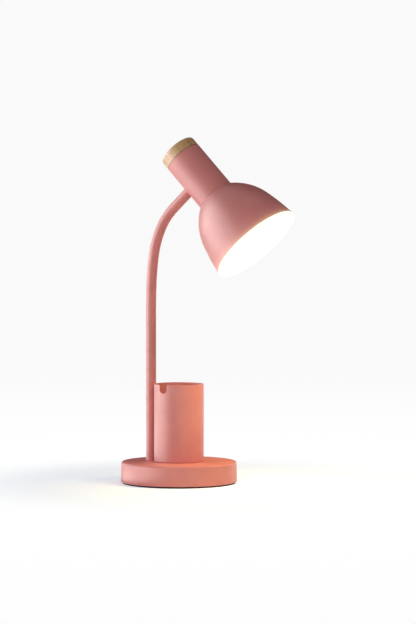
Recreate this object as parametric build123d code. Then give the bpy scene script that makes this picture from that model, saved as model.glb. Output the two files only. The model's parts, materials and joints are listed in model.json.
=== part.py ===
from build123d import *
from math import cos, radians, sin, sqrt, tan
import os

# Desk lamp with a pen cup on its base. Millimetres and degrees, +Z up.
# The origin is the centre of the face that rests on the desk. The arm rises at -X and the head leans to +X.

# Base cover, a drawn steel pan that opens downwards
base_radius = 75.0
base_height = 26.0
base_wall = 1.6
base_draft = 1.8
base_top_round = 2.4
base_lip_round = 0.6

# Pad, bottom plate and counterweight
pad_thickness = 2.0
pad_inset = 2.5
pad_screw_gap = 0.9
plate_thickness = 1.2
plate_gap = 0.3
weight_thickness = 14.0
weight_side_gap = 6.0
weight_foot_gap = 4.0
weight_edge_round = 1.5
boss_radius = 5.0
boss_inset = 9.6
boss_angles = (0.0, 105.0, -105.0)
plate_screw_radius = 2.0
plate_screw_head_radius = 3.6
plate_screw_head_height = 1.5
plate_screw_bite = 9.0

# Pen cup and the bolt that clamps it to the cover and the weight
cup_radius = 32.0
cup_height = 100.0
cup_wall = 1.0
cup_floor = 1.2
cup_foot_round = 1.2
cup_rim_round = 0.35
notch_width = 11.5
notch_depth = 11.2
notch_angle = -102.0
notch_corner_round = 1.5
cup_bolt_radius = 2.5
cup_bolt_head_radius = 4.8
cup_bolt_head_height = 2.6
cup_bolt_end = 2.0
cup_bolt_grip = 6.0
cup_nut_across_flats = 8.0
cup_nut_height = 4.0
cup_washer_radius = 6.0
cup_washer_thickness = 1.2
cup_nut_room = 2.5

# Arm, a steel hose in a soft sleeve, as links that turn on balls
hose_radius = 5.0
hose_bore = 3.0
sleeve_wall = 1.5
cup_arm_gap = 2.3
arm_rise = 122.0
link_length = 35.5
link_bends = (0.0, 0.0, 2.5, 5.4, 15.8, 23.0)
ball_swing = 20.0
ball_shoulder = 1.0
ball_gap = 0.3
sleeve_end_gap = 0.4
seat_gap = 0.05

# Threaded fittings at the two ends of the arm
foot_collar_height = 3.0
foot_collar_step = 0.6
foot_spigot_height = 12.0
foot_spigot_wall = 0.7
nipple_radius = 5.0
foot_nipple_tail = 1.5
head_nipple_length = 11.0
head_fitting_length = 29.3
arm_nut_across_flats = 16.0
arm_nut_height = 5.0
arm_washer_radius = 9.0
arm_washer_thickness = 1.5
saddle_thickness = 3.0

# Lamp lead through the arm, and the leads to the switch
lead_radius = 1.9
lead_joint_gap = 0.4
lead_swing_gap = 0.3
lead_height = 5.8
switch_lead_radius = 0.9
switch_lead_pitch = 3.0
switch_lead_turn = 4.0
switch_lead_bend = 8.0
terminal_width = 20.0
terminal_depth = 14.0
terminal_height = 12.0
terminal_round = 1.0
terminal_wall_gap = 2.0

# Cord gland and rocker switch in the rear of the cover
gland_angle = 180.0
gland_height = 12.0
gland_bore = 3.2
gland_wall = 1.8
gland_flange_step = 1.6
gland_flange_thickness = 2.5
gland_flange_round = 0.8
gland_lip_thickness = 2.0
switch_angle = 150.0
switch_height = 12.0
rocker_width = 11.0
rocker_height = 7.0
rocker_tilt = 10.0
rocker_rise = 1.3
rocker_depth = 2.5
rocker_pivot_depth = 0.5
rocker_side_gap = 0.2
rocker_swing_gap = 0.7
rocker_floor_gap = 2.0
rocker_pin_radius = 0.8
rocker_pin_length = 0.7
switch_wall = 0.9
switch_bezel_step = 1.2
switch_bezel_thickness = 1.6
switch_bezel_round = 0.6
switch_back_depth = 10.0
switch_tab_length = 7.0
switch_tab_width = 4.0
switch_tab_thickness = 0.8
switch_tab_spread = 7.0

# Head: neck tube, wood cap and shade, measured along the head's axis from where the arm meets it
neck_radius = 25.0
neck_wall = 1.2
neck_edge_round = 0.4
neck_above_arm = 36.5
neck_below_arm = 31.5
wood_thickness = 14.0
wood_inset = 0.2
wood_round = 2.5
wood_joint_chamfer = 0.5
wood_screw_radius = 2.0
wood_screw_head_radius = 4.0
wood_screw_head_height = 2.2
wood_screw_bite = 10.0
shade_depth = 83.0
shade_rim_radius = 60.8
shade_wall = 1.0
shade_rim_round = 0.4
shade_crown_angle = 53.4
shade_crown_radius = 75.7
shade_crown_sweep = 39.1

# Lampholder, clamped with the neck and the shade by its ring
holder_gap = 0.4
holder_side_wall = 1.2
holder_back_wall = 5.0
holder_flange_gap = 1.3
holder_flange_step = 2.9
holder_flange_thickness = 2.3
holder_reach = 14.5
ring_edge_gap = 1.1
ring_edge_round = 1.0
ring_height = 5.0
shell_wall = 0.7
contact_width = 5.0
contact_thickness = 1.2

# Screw-in bulb
bulb_cap_radius = 13.1
bulb_cap_length = 24.0
bulb_cap_wall = 0.6
bulb_cap_ribs = 6
bulb_cap_rib_depth = 0.7
bulb_shell_gap = 0.4
bulb_insulator_height = 2.5
bulb_insulator_radius = 9.0
bulb_tip_radius = 4.5
bulb_tip_height = 1.2
bulb_contact_gap = 0.3
bulb_mouth_gap = 0.4
bulb_housing_length = 20.0
bulb_housing_wall = 1.2
globe_radius = 22.5
globe_wall = 1.2
globe_lip = 1.5
board_thickness = 1.6
board_gap = 0.3

# Clearance of a bolt or lead in its hole
hole_gap = 0.15

# Heights of the base, from the desk up
cover_bottom = pad_thickness
cover_top = cover_bottom + base_height
cover_roof = cover_top - base_wall
plate_top = cover_bottom + plate_thickness
weight_bottom = cover_roof - weight_thickness
base_slope = tan(radians(base_draft))

# Arm sizes that follow from the hose
arm_radius = hose_radius + sleeve_wall
arm_x = -(cup_radius + cup_arm_gap + arm_radius)
ball_radius = hose_radius + ball_shoulder
socket_radius = ball_radius + ball_gap
socket_lip = arm_radius * tan(radians(ball_swing))
collar_top = cover_top + foot_collar_height
first_hinge_height = cover_top + arm_rise

# Sizes of the head that follow from the neck, and levels along its axis from the arm towards the opening
neck_room = neck_radius - neck_wall
holder_flange_radius = neck_room - holder_flange_gap
holder_radius = holder_flange_radius - holder_flange_step
wood_joint = -neck_above_arm
shade_joint = neck_below_arm
holder_front = shade_joint + holder_reach
shell_radius = bulb_cap_radius + bulb_shell_gap
holder_bore = shell_radius + shell_wall
bulb_cap_front = holder_front - bulb_mouth_gap
bulb_cap_back = bulb_cap_front - bulb_cap_length
bulb_tip_end = bulb_cap_back - bulb_insulator_height - bulb_tip_height
holder_floor = bulb_tip_end - bulb_contact_gap - contact_thickness
holder_back = holder_floor - holder_back_wall


def disc(radius, low, high):
    return Pos(0, 0, low) * Cylinder(radius, high - low, align=(Align.CENTER, Align.CENTER, Align.MIN))


def tube(outer, inner, low, high):
    return disc(outer, low, high) - disc(inner, low, high)


def turned(*points):
    return revolve(Plane.XZ * make_face(Polyline(*points, close=True)), Axis.Z)


def hex_nut(across_flats, bore, low, high):
    flats = RegularPolygon(across_flats / 2, 6, major_radius=False)
    return Pos(0, 0, low) * extrude(flats, high - low) - disc(bore, low, high)


def lead_along(path, radius):
    start = Plane(path @ 0, z_dir=path % 0)
    return sweep(start * Circle(radius), path)


def ring_of(solid, points):
    return [Pos(x, y, 0) * solid for x, y in points]


# Frames

def wall_frame(angle, height):
    reach = base_radius - height * base_slope
    outward = Vector(cos(radians(angle)), sin(radians(angle)), 0)
    sideways = Vector(-sin(radians(angle)), cos(radians(angle)), 0)
    return Plane(outward * reach + Vector(0, 0, cover_bottom + height), x_dir=sideways, z_dir=outward)


def link_end(bend):
    if bend == 0:
        return Vector(0, 0, link_length)
    radius = link_length / radians(bend)
    return Vector(radius * (1 - cos(radians(bend))), 0, radius * sin(radians(bend)))


def hinge_frames():
    frames = [Plane((arm_x, 0, first_hinge_height))]
    for bend in link_bends:
        here = frames[-1]
        there = here.from_local_coords(link_end(bend))
        turned_plane = here.rotated((0, bend, 0))
        frames.append(Plane(there, x_dir=turned_plane.x_dir, z_dir=turned_plane.z_dir))
    return frames


hinges = hinge_frames()
arm_end = hinges[-1]
head_centre = arm_end.origin + arm_end.z_dir * (head_fitting_length + neck_radius)
head_frame = Plane(head_centre, x_dir=arm_end.z_dir, z_dir=arm_end.x_dir)


# Base

def base_body():
    top_radius = base_radius - base_height * base_slope
    body = turned((0, cover_bottom), (base_radius, cover_bottom), (top_radius, cover_top), (0, cover_top))
    lip, rim = body.edges().filter_by(GeomType.CIRCLE).sort_by(Axis.Z)
    body = fillet(rim, base_top_round)
    lip = body.edges().filter_by(GeomType.CIRCLE).sort_by(Axis.Z)[0]
    return fillet(lip, base_lip_round)


def base_room():
    low_radius = base_radius - base_wall
    high_radius = low_radius - (base_height - base_wall) * base_slope
    room = turned((0, cover_bottom), (low_radius, cover_bottom), (high_radius, cover_roof), (0, cover_roof))
    roof_edge = room.edges().filter_by(GeomType.CIRCLE).sort_by(Axis.Z)[-1]
    return fillet(roof_edge, max(base_top_round - base_wall, base_wall / 4))


body_outside = base_body()
body_inside = base_room()
gland_frame = wall_frame(gland_angle, gland_height)
switch_frame = wall_frame(switch_angle, switch_height)
gland_radius = gland_bore + gland_wall
recess_width = rocker_width + 2 * rocker_swing_gap
recess_height = rocker_height + 2 * rocker_side_gap
switch_body_width = recess_width + 2 * switch_wall
switch_body_height = recess_height + 2 * switch_wall


def make_base_cover():
    cover = body_outside - body_inside
    cover -= disc(cup_bolt_radius + hole_gap, cover_roof, cover_top)
    cover -= Pos(arm_x, 0, 0) * disc(nipple_radius + hole_gap, cover_roof, cover_top)
    through = base_wall + gland_lip_thickness
    cover -= gland_frame * disc(gland_radius + seat_gap, -through, through)
    opening = Box(switch_body_width + 2 * seat_gap, switch_body_height + 2 * seat_gap, 4 * base_wall)
    return cover - switch_frame * opening


weight_radius = base_radius - base_height * base_slope - base_wall - weight_side_gap
boss_circle = weight_radius - boss_radius - boss_inset
boss_places = [(boss_circle * cos(radians(a)), boss_circle * sin(radians(a))) for a in boss_angles]
weight_edge = arm_x + arm_washer_radius + weight_foot_gap
plate_screw_end = plate_top + plate_screw_bite


def make_base_weight():
    plan = Circle(weight_radius) & Pos(weight_edge, 0) * Rectangle(
        2 * weight_radius, 2 * weight_radius, align=(Align.MIN, Align.CENTER))
    weight = Pos(0, 0, weight_bottom) * extrude(plan, weight_thickness)
    weight = fillet(weight.faces().sort_by(Axis.Z)[0].edges(), weight_edge_round)
    for boss in ring_of(disc(boss_radius, plate_top, cover_roof - weight_edge_round), boss_places):
        weight += boss
    screw_hole = disc(plate_screw_radius + seat_gap, plate_top, plate_screw_end + seat_gap)
    for hole in ring_of(screw_hole, boss_places):
        weight -= hole
    weight -= disc(cup_bolt_radius + hole_gap, weight_bottom, cover_roof)
    return weight - disc(cup_washer_radius + cup_nut_room, weight_bottom, cover_roof - cup_bolt_grip)


def make_base_plate():
    plate = disc(base_radius - base_wall - plate_thickness * base_slope - plate_gap, cover_bottom, plate_top)
    for hole in ring_of(disc(plate_screw_radius + hole_gap, cover_bottom, plate_top), boss_places):
        plate -= hole
    return plate


def make_foot_pad():
    pad = disc(base_radius - pad_inset, 0, pad_thickness)
    for hole in ring_of(disc(plate_screw_head_radius + pad_screw_gap, 0, pad_thickness), boss_places):
        pad -= hole
    return pad


def make_plate_screws():
    head = disc(plate_screw_head_radius, cover_bottom - plate_screw_head_height, cover_bottom)
    head = fillet(head.edges().sort_by(Axis.Z)[0], plate_screw_head_height / 2)
    screw = head + disc(plate_screw_radius, cover_bottom, plate_screw_end)
    return Compound(ring_of(screw, boss_places))


def make_cord_gland():
    flange_radius = gland_radius + gland_flange_step
    flange = disc(flange_radius, -base_wall, gland_flange_thickness)
    flange = fillet(flange.edges().filter_by(GeomType.CIRCLE).sort_by(Axis.Z)[-1], gland_flange_round)
    reach = base_wall + gland_lip_thickness
    lip = gland_frame * disc(flange_radius, -reach - gland_flange_step, 0) & body_inside
    gland = gland_frame * flange - body_outside
    gland += gland_frame * disc(gland_radius, -reach, gland_flange_thickness)
    gland += lip
    return gland - gland_frame * disc(gland_bore, -2 * reach - gland_flange_step, 2 * gland_flange_thickness)


# Rocker switch, in the frame of the wall: x sideways, y up, z outwards

rocker_pivot = Pos(0, 0, -rocker_pivot_depth)


def make_switch_housing():
    bezel = Box(
        switch_body_width + 2 * switch_bezel_step,
        switch_body_height + 2 * switch_bezel_step,
        switch_bezel_thickness + base_wall,
        align=(Align.CENTER, Align.CENTER, Align.MAX))
    bezel = Pos(0, 0, switch_bezel_thickness) * bezel
    bezel = fillet(bezel.faces().sort_by(Axis.Z)[-1].edges(), switch_bezel_round)
    shell = Box(
        switch_body_width,
        switch_body_height,
        switch_back_depth + switch_bezel_round,
        align=(Align.CENTER, Align.CENTER, Align.MIN))
    recess_floor = rocker_depth + rocker_floor_gap
    recess = Box(
        recess_width,
        recess_height,
        recess_floor + 2 * switch_bezel_thickness,
        align=(Align.CENTER, Align.CENTER, Align.MIN))
    housing = switch_frame * bezel - body_outside
    housing += switch_frame * Pos(0, 0, -switch_back_depth) * shell
    housing -= switch_frame * Pos(0, 0, -recess_floor) * recess
    pin_hole = Cylinder(rocker_pin_radius + seat_gap, switch_body_height, rotation=(90, 0, 0))
    return housing - switch_frame * rocker_pivot * pin_hole


def make_switch_rocker():
    half = rocker_width / 2
    edge = rocker_rise + half * tan(radians(rocker_tilt))
    outline = Polyline(
        (-half, edge),
        (0, rocker_rise),
        (half, edge),
        (half, 0),
        (half / 2, -rocker_depth),
        (-half / 2, -rocker_depth),
        (-half, 0),
        close=True)
    rocker = extrude(Plane.XZ * make_face(outline), rocker_height / 2, both=True)
    pin_span = rocker_height + 2 * rocker_pin_length
    rocker += rocker_pivot * Cylinder(rocker_pin_radius, pin_span, rotation=(90, 0, 0))
    tilted = rocker_pivot * Rot(0, rocker_tilt, 0) * rocker_pivot.inverse() * rocker
    return switch_frame * tilted


def switch_tab_places():
    return [-switch_tab_spread / 2, switch_tab_spread / 2]


def make_switch_tabs():
    tab = Box(
        switch_tab_thickness,
        switch_tab_width,
        switch_tab_length,
        align=(Align.CENTER, Align.CENTER, Align.MAX))
    return Compound([switch_frame * Pos(x, 0, -switch_back_depth) * tab for x in switch_tab_places()])


# Terminal block and wiring in the base

terminal_lean = (plate_thickness + terminal_height) * base_slope
terminal_reach = base_radius - base_wall - terminal_lean - terminal_wall_gap
terminal_side = -arm_x + terminal_width / 2
terminal_face = terminal_depth - sqrt(terminal_reach ** 2 - terminal_side ** 2)
lead_level = plate_top + lead_height


def make_terminal_block():
    block = Box(
        terminal_width,
        terminal_depth,
        terminal_height,
        align=(Align.CENTER, Align.MAX, Align.MIN))
    block = Pos(arm_x, terminal_face, plate_top) * block
    return fillet(block.edges().filter_by(Axis.Z), terminal_round)


def make_switch_leads():
    leads = []
    inward = switch_frame.z_dir * -1
    for side, x in enumerate(switch_tab_places()):
        start = switch_frame.from_local_coords((x, 0, -switch_back_depth - switch_tab_length))
        place = arm_x - lead_radius - (2 - side) * switch_lead_pitch
        path = FilletPolyline(
            start,
            start + inward * switch_tab_length,
            (place, switch_lead_bend, lead_level),
            (place, terminal_face, lead_level),
            radius=switch_lead_turn)
        leads.append(lead_along(path, switch_lead_radius))
    return Compound(leads)


def make_lamp_lead_base():
    path = FilletPolyline(
        (arm_x, terminal_face, lead_level),
        (arm_x, 0, lead_level),
        (arm_x, 0, first_hinge_height - lead_joint_gap),
        radius=foot_nipple_end - lead_level)
    return lead_along(path, lead_radius)


# Pen cup

def make_pen_cup():
    rim = cover_top + cup_height
    cup = disc(cup_radius, cover_top, rim)
    cup = fillet(cup.edges().sort_by(Axis.Z)[0], cup_foot_round)
    cup -= disc(cup_radius - cup_wall, cover_top + cup_floor, rim)
    slot_bottom = rim - notch_depth + notch_width / 2
    slot = Pos(cup_radius, 0, slot_bottom) * Box(
        4 * cup_wall + notch_width / 4,
        notch_width,
        2 * notch_depth,
        align=(Align.CENTER, Align.CENTER, Align.MIN))
    slot += Pos(cup_radius, 0, slot_bottom) * Cylinder(
        notch_width / 2, 4 * cup_wall + notch_width / 4, rotation=(0, 90, 0))
    cup -= Rot(0, 0, notch_angle) * slot
    corners = cup.edges().filter_by(GeomType.LINE).filter_by_position(Axis.Z, rim, rim)
    cup = fillet(corners, notch_corner_round)
    rim_edges = cup.edges().filter_by(GeomType.CIRCLE).filter_by_position(Axis.Z, rim, rim)
    cup = fillet(rim_edges, cup_rim_round)
    return cup - disc(cup_bolt_radius + hole_gap, cover_top, cover_top + cup_floor)


cup_seat = cover_top + cup_floor
cup_clamp = cover_roof - cup_bolt_grip
cup_nut_top = cup_clamp - cup_washer_thickness
cup_nut_bottom = cup_nut_top - cup_nut_height


def make_cup_bolt():
    head = disc(cup_bolt_head_radius, cup_seat, cup_seat + cup_bolt_head_height)
    head = fillet(head.edges().sort_by(Axis.Z)[-1], cup_bolt_head_height / 2)
    return head + disc(cup_bolt_radius, cup_nut_bottom - cup_bolt_end, cup_seat)


def make_cup_washer():
    return tube(cup_washer_radius, cup_bolt_radius + hole_gap, cup_nut_top, cup_clamp)


def make_cup_nut():
    return hex_nut(cup_nut_across_flats, cup_bolt_radius + seat_gap, cup_nut_bottom, cup_nut_top)


# Arm foot

foot_nut_top = cover_roof - arm_washer_thickness
foot_nut_bottom = foot_nut_top - arm_nut_height
foot_nipple_end = foot_nut_bottom - foot_nipple_tail


def make_arm_foot():
    spigot_top = collar_top + foot_spigot_height
    bore = hose_bore - seat_gap - foot_spigot_wall
    foot = disc(nipple_radius, foot_nipple_end, cover_top)
    foot += disc(arm_radius + foot_collar_step, cover_top, collar_top)
    foot += disc(hose_bore - seat_gap, collar_top, spigot_top)
    return Pos(arm_x, 0, 0) * (foot - disc(bore, foot_nipple_end, spigot_top))


def make_arm_foot_washer():
    return Pos(arm_x, 0, 0) * tube(arm_washer_radius, nipple_radius + hole_gap, foot_nut_top, cover_roof)


def make_arm_foot_nut():
    nut = hex_nut(arm_nut_across_flats, nipple_radius + seat_gap, foot_nut_bottom, foot_nut_top)
    return Pos(arm_x, 0, 0) * nut


# Arm links, each from its own hinge at the frame's origin to the next hinge

def bent_rod(radius, bend, start=0.0, stop=None):
    stop = link_length if stop is None else stop
    if bend == 0:
        return disc(radius, start, stop)
    turn_radius = link_length / radians(bend)
    axis = Axis((turn_radius, 0, 0), (0, 1, 0))
    rod = revolve(Circle(radius), axis, bend * (stop - start) / link_length)
    return rod.rotate(axis, bend * start / link_length)


def bent_tube(outer, inner, bend, stop=None):
    return bent_rod(outer, bend, 0.0, stop) - bent_rod(inner, bend, 0.0, stop)


def end_place(bend):
    return Plane(link_end(bend)).rotated((0, bend, 0))


def ball_mouth():
    narrow = lead_radius / cos(radians(ball_swing)) + lead_swing_gap
    wide = narrow + 2 * ball_radius * tan(radians(ball_swing))
    flare = turned((0, 0), (narrow, 0), (wide, 2 * ball_radius), (0, 2 * ball_radius))
    return flare + disc(hose_bore, 0, 2 * ball_radius)


def hose_with_ball(tube_solid, top):
    hose = tube_solid + top * Sphere(ball_radius)
    return hose - top * ball_mouth()


def make_hose(bend):
    hose = hose_with_ball(bent_rod(hose_radius, bend), end_place(bend))
    hose -= bent_rod(hose_bore, bend)
    return hose - Sphere(socket_radius)


def make_sleeve(bend):
    sleeve = bent_tube(arm_radius, hose_radius + seat_gap, bend, link_length - sleeve_end_gap)
    sleeve -= disc(2 * arm_radius, -arm_radius, socket_lip)
    sleeve -= Sphere(socket_radius)
    return sleeve - end_place(bend) * Sphere(ball_radius + seat_gap)


def make_lead(bend):
    return bent_rod(lead_radius, bend, lead_joint_gap, link_length - lead_joint_gap)


def make_hose_base():
    top = Plane((0, 0, first_hinge_height))
    hose = hose_with_ball(disc(hose_radius, collar_top, first_hinge_height), top)
    return Pos(arm_x, 0, 0) * (hose - disc(hose_bore, collar_top, first_hinge_height))


def make_sleeve_base():
    sleeve = tube(arm_radius, hose_radius + seat_gap, collar_top, first_hinge_height - sleeve_end_gap)
    sleeve -= Pos(0, 0, first_hinge_height) * Sphere(ball_radius + seat_gap)
    return Pos(arm_x, 0, 0) * sleeve


# Head, in its own frame: z along its axis to the opening, x away from the arm

saddle_face = -neck_room + saddle_thickness
head_nut_face = saddle_face + arm_nut_height
head_nipple_end = -neck_radius + head_nipple_length


def across(solid):
    return Rot(0, 90, 0) * solid


def make_head_fitting():
    hinge = -neck_radius - head_fitting_length
    fitting = across(disc(arm_radius, hinge + socket_lip, 0)) - disc(neck_radius, -neck_radius, neck_radius)
    fitting += across(disc(nipple_radius, -neck_radius - arm_radius, head_nipple_end))
    fitting -= across(disc(hose_bore, hinge, 0))
    return head_frame * (fitting - Pos(hinge, 0, 0) * across(Sphere(socket_radius)))


def make_head_washer():
    washer = across(disc(arm_washer_radius, -neck_radius, saddle_face))
    washer &= disc(neck_room, -neck_radius, neck_radius)
    return head_frame * (washer - across(disc(nipple_radius + hole_gap, -neck_radius, saddle_face)))


def make_head_nut():
    nut = hex_nut(arm_nut_across_flats, nipple_radius + seat_gap, saddle_face, head_nut_face)
    return head_frame * across(nut)


def make_neck_tube():
    neck = disc(neck_radius, wood_joint, shade_joint)
    neck = fillet(neck.edges().filter_by(GeomType.CIRCLE), neck_edge_round)
    neck -= disc(neck_room, wood_joint + neck_wall, shade_joint - neck_wall)
    neck -= disc(holder_radius + holder_gap, shade_joint - neck_wall, shade_joint)
    neck -= disc(wood_screw_radius + hole_gap, wood_joint, wood_joint + neck_wall)
    return head_frame * (neck - across(disc(nipple_radius + hole_gap, -neck_radius - neck_wall, 0)))


def make_wood_cap():
    cap = disc(neck_radius - wood_inset, wood_joint - wood_thickness, wood_joint)
    far_edge, joint_edge = cap.edges().filter_by(GeomType.CIRCLE).sort_by(Axis.Z)
    cap = fillet(far_edge, wood_round)
    joint_edge = cap.edges().filter_by(GeomType.CIRCLE).sort_by(Axis.Z)[-1]
    cap = chamfer(joint_edge, wood_joint_chamfer)
    pilot = disc(wood_screw_radius + seat_gap, wood_joint - wood_screw_bite - seat_gap, wood_joint)
    return head_frame * (cap - pilot)


def make_wood_cap_screw():
    seat = wood_joint + neck_wall
    head = disc(wood_screw_head_radius, seat, seat + wood_screw_head_height)
    head = fillet(head.edges().sort_by(Axis.Z)[-1], wood_screw_head_height / 2)
    return head_frame * (head + disc(wood_screw_radius, wood_joint - wood_screw_bite, seat))


def shade_outline(inset):
    away = Vector(sin(radians(shade_crown_angle)), cos(radians(shade_crown_angle)))
    inward = Vector(-away.Y, away.X)
    start = Vector(neck_radius, shade_joint) + inward * inset
    crown = JernArc(start, away, shade_crown_radius - inset, shade_crown_sweep)
    outer_crown = JernArc(Vector(neck_radius, shade_joint), away, shade_crown_radius, shade_crown_sweep)
    rim = Vector(shade_rim_radius, shade_joint + shade_depth)
    outer_skirt = TangentArc(outer_crown @ 1, rim, tangent=outer_crown % 1)
    rim_inward = Vector(-(outer_skirt % 1).Y, (outer_skirt % 1).X)
    skirt = TangentArc(crown @ 1, rim + rim_inward * inset, tangent=crown % 1)
    return crown, skirt


def make_shade():
    crown, skirt = shade_outline(0)
    inner_crown, inner_skirt = shade_outline(shade_wall)
    rim_line = Line(skirt @ 1, inner_skirt @ 1)
    top_line = Line(crown @ 0, inner_crown @ 0)
    band = make_face([crown, skirt, rim_line, inner_skirt, inner_crown, top_line])
    band = fillet(band.vertices().sort_by(Axis.Y)[-2:], shade_rim_round)
    flange = Pos(holder_radius + holder_gap, shade_joint) * Rectangle(
        neck_radius - holder_radius - holder_gap, shade_wall, align=(Align.MIN, Align.MIN))
    return head_frame * revolve(Plane.XZ * (band + flange), Axis.Z)


ring_seat = shade_joint + shade_wall


def make_shade_ring():
    ring = disc(neck_radius - ring_edge_gap, ring_seat, ring_seat + ring_height)
    ring = fillet(ring.edges().filter_by(GeomType.CIRCLE).sort_by(Axis.Z)[-1], ring_edge_round)
    return head_frame * (ring - disc(holder_radius + seat_gap, ring_seat, ring_seat + ring_height))


lead_entry = lead_radius + switch_lead_pitch


def make_lampholder_body():
    flange_front = shade_joint - neck_wall
    flange_back = flange_front - holder_flange_thickness
    body = disc(holder_bore + holder_side_wall, holder_back, flange_front)
    body = fillet(body.edges().sort_by(Axis.Z)[0], holder_back_wall / 2)
    body += disc(holder_flange_radius, flange_back, flange_front)
    body += disc(holder_radius, flange_front, holder_front)
    body -= disc(holder_bore, holder_floor, holder_front)
    lead_hole = disc(lead_radius + hole_gap, holder_back, holder_floor - holder_back_wall / 2)
    return head_frame * (body - Pos(-lead_entry, 0, 0) * lead_hole)


def make_lampholder_shell():
    shell_back = bulb_cap_back - bulb_insulator_height
    return head_frame * tube(holder_bore - seat_gap, shell_radius, shell_back, holder_front)


def make_lampholder_contact():
    strip = Box(
        contact_width,
        2 * shell_radius - bulb_cap_radius,
        contact_thickness,
        align=(Align.CENTER, Align.CENTER, Align.MIN))
    return head_frame * Pos(0, 0, holder_floor) * strip


def make_head_lead():
    start = -neck_radius - head_fitting_length + lead_joint_gap
    path = FilletPolyline(
        head_frame.from_local_coords((start, 0, 0)),
        head_frame.from_local_coords((-lead_entry, 0, 0)),
        head_frame.from_local_coords((-lead_entry, 0, holder_floor - holder_back_wall / 2)),
        radius=min(-lead_entry - head_nipple_end, holder_back))
    return lead_along(path, lead_radius)


# Bulb

housing_back = holder_front + bulb_mouth_gap
housing_front = housing_back + bulb_housing_length
housing_rim = globe_radius - globe_lip
globe_centre = housing_front + sqrt(globe_radius ** 2 - housing_rim ** 2)


def make_bulb_cap():
    rib = bulb_cap_length / bulb_cap_ribs
    inner = bulb_cap_radius - bulb_cap_rib_depth - bulb_cap_wall
    points = [(inner, bulb_cap_back)]
    for count in range(bulb_cap_ribs):
        low = bulb_cap_back + count * rib
        points.append((bulb_cap_radius - bulb_cap_rib_depth, low))
        points.append((bulb_cap_radius, low + rib / 2))
    points.append((bulb_cap_radius - bulb_cap_rib_depth, bulb_cap_front))
    points.append((inner, bulb_cap_front))
    return head_frame * turned(*points)


def make_bulb_insulator():
    end = bulb_cap_back - bulb_insulator_height
    wide = bulb_cap_radius - bulb_cap_rib_depth
    insulator = turned((0, end), (bulb_insulator_radius, end), (wide, bulb_cap_back), (0, bulb_cap_back))
    return head_frame * insulator


def make_bulb_tip():
    tip = disc(bulb_tip_radius, bulb_tip_end, bulb_tip_end + bulb_tip_height)
    return head_frame * fillet(tip.edges().sort_by(Axis.Z)[0], bulb_tip_height / 2)


def make_bulb_housing():
    inner = bulb_cap_radius - bulb_cap_rib_depth - bulb_cap_wall - seat_gap
    neck = bulb_cap_radius + bulb_housing_wall
    housing = turned(
        (0, bulb_cap_back),
        (inner, bulb_cap_back),
        (inner, bulb_cap_front),
        (bulb_cap_radius, bulb_cap_front),
        (bulb_cap_radius, housing_back),
        (neck, housing_back),
        (housing_rim, housing_front),
        (0, housing_front))
    return head_frame * housing


def globe_shape(radius):
    ball = Pos(0, 0, globe_centre) * Sphere(radius)
    return ball & disc(2 * globe_radius, housing_front, globe_centre + 2 * globe_radius)


def make_bulb_globe():
    return head_frame * (globe_shape(globe_radius) - globe_shape(globe_radius - globe_wall))


def make_bulb_board():
    opening = sqrt((globe_radius - globe_wall) ** 2 - (globe_centre - housing_front) ** 2)
    return head_frame * disc(opening - board_gap, housing_front, housing_front + board_thickness)


nodes = {
    "base_cover": make_base_cover(),
    "base_weight": make_base_weight(),
    "base_plate": make_base_plate(),
    "foot_pad": make_foot_pad(),
    "plate_screws": make_plate_screws(),
    "cord_gland": make_cord_gland(),
    "switch_housing": make_switch_housing(),
    "switch_rocker": make_switch_rocker(),
    "switch_tabs": make_switch_tabs(),
    "switch_leads": make_switch_leads(),
    "terminal_block": make_terminal_block(),
    "pen_cup": make_pen_cup(),
    "cup_bolt": make_cup_bolt(),
    "cup_washer": make_cup_washer(),
    "cup_nut": make_cup_nut(),
    "arm_foot": make_arm_foot(),
    "arm_foot_washer": make_arm_foot_washer(),
    "arm_foot_nut": make_arm_foot_nut(),
    "hose_base": make_hose_base(),
    "sleeve_base": make_sleeve_base(),
    "lamp_lead_base": make_lamp_lead_base(),
    "head_fitting": make_head_fitting(),
    "head_washer": make_head_washer(),
    "head_nut": make_head_nut(),
    "neck_tube": make_neck_tube(),
    "wood_cap": make_wood_cap(),
    "wood_cap_screw": make_wood_cap_screw(),
    "shade": make_shade(),
    "shade_ring": make_shade_ring(),
    "lampholder_body": make_lampholder_body(),
    "lampholder_shell": make_lampholder_shell(),
    "lampholder_contact": make_lampholder_contact(),
    "lamp_lead_head": make_head_lead(),
    "bulb_cap": make_bulb_cap(),
    "bulb_insulator": make_bulb_insulator(),
    "bulb_tip": make_bulb_tip(),
    "bulb_housing": make_bulb_housing(),
    "bulb_board": make_bulb_board(),
    "bulb_globe": make_bulb_globe(),
}
for number, (place, bend) in enumerate(zip(hinges, link_bends), start=1):
    nodes[f"hose_{number}"] = place * make_hose(bend)
    nodes[f"sleeve_{number}"] = place * make_sleeve(bend)
    nodes[f"lamp_lead_{number}"] = place * make_lead(bend)

os.makedirs("parts", exist_ok=True)
for name, solid in nodes.items():
    export_step(solid, f"parts/{name}.step")

for number, place in enumerate(hinges, start=1):
    print("hinge", number, [round(v, 4) for v in place.origin], [round(v, 5) for v in place.z_dir])
print("head", [round(v, 4) for v in head_frame.origin], [round(v, 5) for v in head_frame.z_dir])
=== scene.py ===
import json
import math

import bmesh
import bpy
from mathutils import Matrix, Vector


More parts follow.
